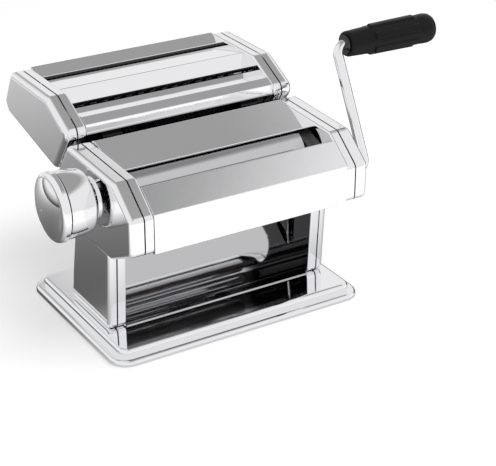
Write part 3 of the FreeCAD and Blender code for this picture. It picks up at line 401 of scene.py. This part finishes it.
def black_plastic():
    """Moulded black plastic with the fine grain of its mould."""
    material, tree, bsdf = shader("black_plastic")
    grain = noise(tree, MOULD_GRAIN)
    wear = noise(tree, MOULD_WEAR)
    tree.links.new(tinted(tree, wear, BLACK_TINT, PLASTIC_PATCH), bsdf.inputs["Base Color"])
    tree.links.new(spread(tree, wear, PLASTIC_ROUGH), bsdf.inputs["Roughness"])
    tree.links.new(bump(tree, grain, MOULD_RELIEF), bsdf.inputs["Normal"])
    bsdf.inputs["Specular IOR Level"].default_value = PLASTIC_SHINE
    return material


def nylon():
    """Dark nylon."""
    material, tree, bsdf = shader("nylon")
    cloud = noise(tree, NYLON_CLOUD)
    tree.links.new(tinted(tree, cloud, NYLON_TINT, NYLON_PATCH), bsdf.inputs["Base Color"])
    tree.links.new(spread(tree, cloud, NYLON_ROUGH), bsdf.inputs["Roughness"])
    bsdf.inputs["Subsurface Weight"].default_value = NYLON_DEPTH
    return material


def rubber():
    """Dull black rubber."""
    material, tree, bsdf = shader("rubber")
    grain = noise(tree, RUBBER_GRAIN)
    tree.links.new(tinted(tree, grain, RUBBER_TINT, RUBBER_PATCH), bsdf.inputs["Base Color"])
    tree.links.new(spread(tree, grain, RUBBER_ROUGH), bsdf.inputs["Roughness"])
    tree.links.new(bump(tree, grain, RUBBER_RELIEF), bsdf.inputs["Normal"])
    return material


def own_finishes():
    """Finishes of the pieces that look different from the rest of their material slot, painted shade
    included.
    """
    roller = polished_turned("ground_roller", STEEL_TINT)
    own = {
        "front_roller": roller,
        "rear_roller": roller,
        "dough_slide": polished_sheet("slide", SLIDE_TINT),
        # Painted shade: the seat rails are near-black where they lie in shade between the tray and the
        # cutter head.
        "seat_rails": polished_sheet("shaded_rails", PAINTED_SHADE_TINT),
        # Painted shade: the washer is near-black to stand for the shaded recess where the rod enters the
        # grip.
        "grip_washer": polished_turned("shaded_washer", PAINTED_SHADE_TINT),
        "knob_cap": knob_cap_steel("knob_cap"),
    }
    # Painted shade on these sheets: near-black inside under the rollers, under the cutter head and on the
    # slot lips.
    for name, spans in PAINTED_SHADE_SPANS.items():
        own[name] = polished_sheet(name + "_sheet", CHROME_TINT, spans)
    for name in frame["nodes"]:
        if name.endswith("_cutter"):
            own[name] = cutter_steel(name)
    return own


def dress_nodes():
    """Gives every piece its own finish or that of its material slot, and returns the latter."""
    makers = (polished_sheet, polished_turned, bright_steel, black_plastic, nylon, rubber)
    finishes = {maker.__name__: maker() for maker in makers}
    own = own_finishes()
    for row in frame["record"]["subparts"]:
        name = row["node"]
        piece = frame["nodes"][name]
        piece.data.materials.clear()
        piece.data.materials.append(own.get(name, finishes[row["material_slot"]]))
    return finishes


def placed(name, data):
    """A new object in the scene."""
    thing = bpy.data.objects.new(name, data)
    bpy.context.scene.collection.objects.link(thing)
    return thing


def along_line(points, place):
    """Value at a place on a line through points of place and value."""
    for (start, first), (end, last) in zip(points, points[1:]):
        if place <= end:
            return first + (last - first) * max(0.0, place - start) / (end - start)
    return points[-1][1]


def grip_reach(place, degrees):
    """Radius of the grip, as a share of its greatest, at a place and a turn."""
    core = along_line(GRIP_CORE, place)
    pitch = 360.0 / GRIP_RIBS
    aside = abs((degrees + pitch / 2) % pitch - pitch / 2)
    flank = min(1.0, max(0.0, (GRIP_RIB_HALF - aside) / GRIP_RIB_FLANK))
    rise = max(0.0, along_line(GRIP_RIB_TOP, place) - core)
    return core + rise * flank * along_line(GRIP_RIB_RISE, place)


def grip_ring(x, middle, reaches):
    """A ring of points about the grip's axis."""
    points = []
    for degrees, reach in zip(GRIP_DEGREES, reaches):
        turn = math.radians(degrees)
        points.append((x, middle.y + reach * math.sin(turn), middle.z + reach * math.cos(turn)))
    return points


def grip_rings(low, high):
    """Rings of points along the outside of the grip and back along its bore."""
    middle = (low + high) / 2
    radius = (high.z - low.z) / 2
    corners = [point[0] for points in (GRIP_CORE, GRIP_RIB_RISE) for point in points]
    places = sorted(set(corners + [step / GRIP_RINGS for step in range(GRIP_RINGS + 1)]))
    rings = []
    for place in places:
        reaches = [radius * grip_reach(place, degrees) for degrees in GRIP_DEGREES]
        rings.append(grip_ring(low.x + (high.x - low.x) * place, middle, reaches))
    bore = [GRIP_BORE] * GRIP_TURNS
    rings.append(grip_ring(high.x - GRIP_END_WALL, middle, bore))
    rings.append(grip_ring(low.x, middle, bore))
    return rings


def grip_faces(count):
    """Faces between the rings, and the flat ends of the grip and of its bore."""
    bore_end = count - 2
    outer_end = bore_end - 1
    faces = []
    for ring in range(count):
        if ring == outer_end:
            continue
        after = (ring + 1) % count
        for step in range(GRIP_TURNS):
            beside = (step + 1) % GRIP_TURNS
            corners = ((ring, step), (ring, beside), (after, beside), (after, step))
            faces.append([row * GRIP_TURNS + column for row, column in corners])
    faces.append([outer_end * GRIP_TURNS + step for step in range(GRIP_TURNS)])
    faces.append([bore_end * GRIP_TURNS + step for step in reversed(range(GRIP_TURNS))])
    return faces


def add_grip(plastic):
    """The grip with its collar and ribs, on its own body and in place of the plainer solid."""
    rings = grip_rings(*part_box("crank_grip"))
    mesh = bpy.data.meshes.new("ribbed_grip")
    mesh.from_pydata([point for ring in rings for point in ring], [], grip_faces(len(rings)))
    outward = bmesh.new()
    outward.from_mesh(mesh)
    bmesh.ops.recalc_face_normals(outward, faces=outward.faces)
    outward.to_mesh(mesh)
    outward.free()
    mesh.polygons.foreach_set("use_smooth", [True] * len(mesh.polygons))
    mesh.set_sharp_from_angle(angle=math.radians(GRIP_SHARP))
    mesh.materials.append(plastic)
    grip = placed("ribbed_grip", mesh)
    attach(grip, "grip")
    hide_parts("crank_grip")


def add_camera():
    """A camera at the photograph's viewing angle."""
    yaw = math.radians(VIEW_YAW)
    pitch = math.radians(VIEW_PITCH)
    level = math.cos(pitch)
    ahead = Vector((math.sin(yaw) * level, math.cos(yaw) * level, -math.sin(pitch)))
    camera = bpy.data.cameras.new("photo_view")
    camera.sensor_width = SENSOR_MM
    camera.lens = FOCAL_PIXELS * SENSOR_MM / IMAGE_WIDE
    camera.clip_start = VIEW_NEAREST
    viewer = placed("photo_view", camera)
    viewer.location = VIEW_TARGET - ahead * VIEW_DISTANCE
    viewer.rotation_euler = ahead.to_track_quat("-Z", "Y").to_euler()
    viewer.rotation_euler.rotate_axis("Z", math.radians(VIEW_ROLL))
    bpy.context.scene.camera = viewer


def card(name, corners, material):
    """A flat four-cornered studio card, which isn't part of the object."""
    mesh = bpy.data.meshes.new(name)
    mesh.from_pydata(corners, [], [(0, 1, 2, 3)])
    mesh.materials.append(material)
    board = placed(name, mesh)
    return board


def only_mirrored(board):
    """Takes a card out of the picture and the light, so that it is only seen in the metal."""
    board.visible_camera = False
    board.visible_diffuse = False
    board.visible_shadow = False


def seen_ray(tree):
    """1 for what the camera, a mirror or a glass sees, and 0 for the light that falls on things."""
    path = tree.nodes.new("ShaderNodeLightPath")
    seen = path.outputs["Is Camera Ray"]
    for other in ("Is Glossy Ray", "Is Transmission Ray"):
        seen = scalar_step(tree, "MAXIMUM", seen, path.outputs[other])
    return seen


def floor_paint():
    """Pale paper that keeps the shadow, with a lift that brings it to white where it is seen."""
    material = bpy.data.materials.new("floor_paper")
    tree = tree_of(material)
    output = tree.nodes.new("ShaderNodeOutputMaterial")
    paper = tree.nodes.new("ShaderNodeBsdfDiffuse")
    paper.inputs["Color"].default_value = (FLOOR_PAPER, FLOOR_PAPER, FLOOR_PAPER, 1.0)
    lift = tree.nodes.new("ShaderNodeEmission")
    tree.links.new(ranged(tree, seen_ray(tree), SHARE, (0.0, FLOOR_LIFT)), lift.inputs["Strength"])
    both = tree.nodes.new("ShaderNodeAddShader")
    tree.links.new(paper.outputs["BSDF"], both.inputs[0])
    tree.links.new(lift.outputs["Emission"], both.inputs[1])
    tree.links.new(both.outputs["Shader"], output.inputs["Surface"])
    return material


def card_paint(name, shades, span, centre, weights):
    """Card whose shade runs with the distance from a centre, and fades to white in front of the part."""
    material, tree, glow = glowing(name)
    missing = ranged(tree, distance(tree, centre, weights), span, [1.0 - shade for shade in shades])
    behind = ranged(tree, axis_of(tree, "Object", "Y"), CARD_FRONT)
    lost = scalar_step(tree, "MULTIPLY", missing, behind)
    tree.links.new(ranged(tree, lost, SHARE, (1.0, 0.0)), glow.inputs["Strength"])
    return material


def slope(tree, direction, toward, edge):
    """0 to 1 as the direction turns towards another, between two cosines."""
    turned = vector_step(tree, "DOT_PRODUCT", direction, Vector(toward).normalized())
    return ranged(tree, turned.outputs["Value"], edge, SHARE, "SMOOTHSTEP")


def tent_paint():
    """White cloth of the tent, greyer above and behind the part."""
    material, tree, cloth = glowing("tent_cloth")
    direction = vector_step(tree, "NORMALIZE", place_of(tree)).outputs["Vector"]
    over = slope(tree, direction, ROOF_TOWARD, ROOF_EDGE)
    right = slope(tree, direction, ROOF_SIDE, ROOF_SIDE_EDGE)
    roof = scalar_step(tree, "MULTIPLY", over, right)
    tree.links.new(ranged(tree, roof, SHARE, (TENT_SHADE, ROOF_SHADE)), cloth.inputs["Strength"])
    return material


def add_tent():
    """Round tent over the part, which only the polished metal sees."""
    mesh = bpy.data.meshes.new("tent")
    ball = bmesh.new()
    bmesh.ops.create_uvsphere(ball, u_segments=TENT_AROUND, v_segments=TENT_UP, radius=TENT_RADIUS)
    ball.to_mesh(mesh)
    ball.free()
    mesh.materials.append(tent_paint())
    tent = placed("tent", mesh)
    only_mirrored(tent)


def add_stage():
    """The floor, and the tent and cards that a polished thing is photographed between."""
    far = FLOOR_HALF
    card("floor", [(-far, -far, 0), (far, -far, 0), (far, far, 0), (-far, far, 0)], floor_paint())
    for name, facts in CARDS.items():
        paint = card_paint(name, facts["shades"], facts["span"], facts["centre"], facts["weights"])
        only_mirrored(card(name, facts["corners"], paint))
    add_tent()


def add_sky():
    """White wherever it is seen, and a plain soft level where it lights things."""
    world = bpy.data.worlds.new("studio")
    bpy.context.scene.world = world
    tree = tree_of(world)
    output = tree.nodes.new("ShaderNodeOutputWorld")
    sky = tree.nodes.new("ShaderNodeBackground")
    tree.links.new(ranged(tree, seen_ray(tree), SHARE, (AMBIENT, 1.0)), sky.inputs["Strength"])
    tree.links.new(sky.outputs["Background"], output.inputs["Surface"])


def add_lamp():
    """A wide soft lamp overhead, which the metal doesn't mirror."""
    lamp = bpy.data.lights.new("overhead", "AREA")
    lamp.shape = "RECTANGLE"
    lamp.size, lamp.size_y = LAMP_SIZE
    lamp.energy = LAMP_WATTS
    holder = placed("overhead", lamp)
    holder.location = LAMP_PLACE
    holder.rotation_euler = (LAMP_AIM - LAMP_PLACE).to_track_quat("-Z", "Y").to_euler()
    holder.visible_glossy = False


finishes = dress_nodes()
add_grip(finishes["black_plastic"])
add_camera()
add_stage()
add_sky()
add_lamp()
bpy.context.scene.view_settings.view_transform = "Standard"
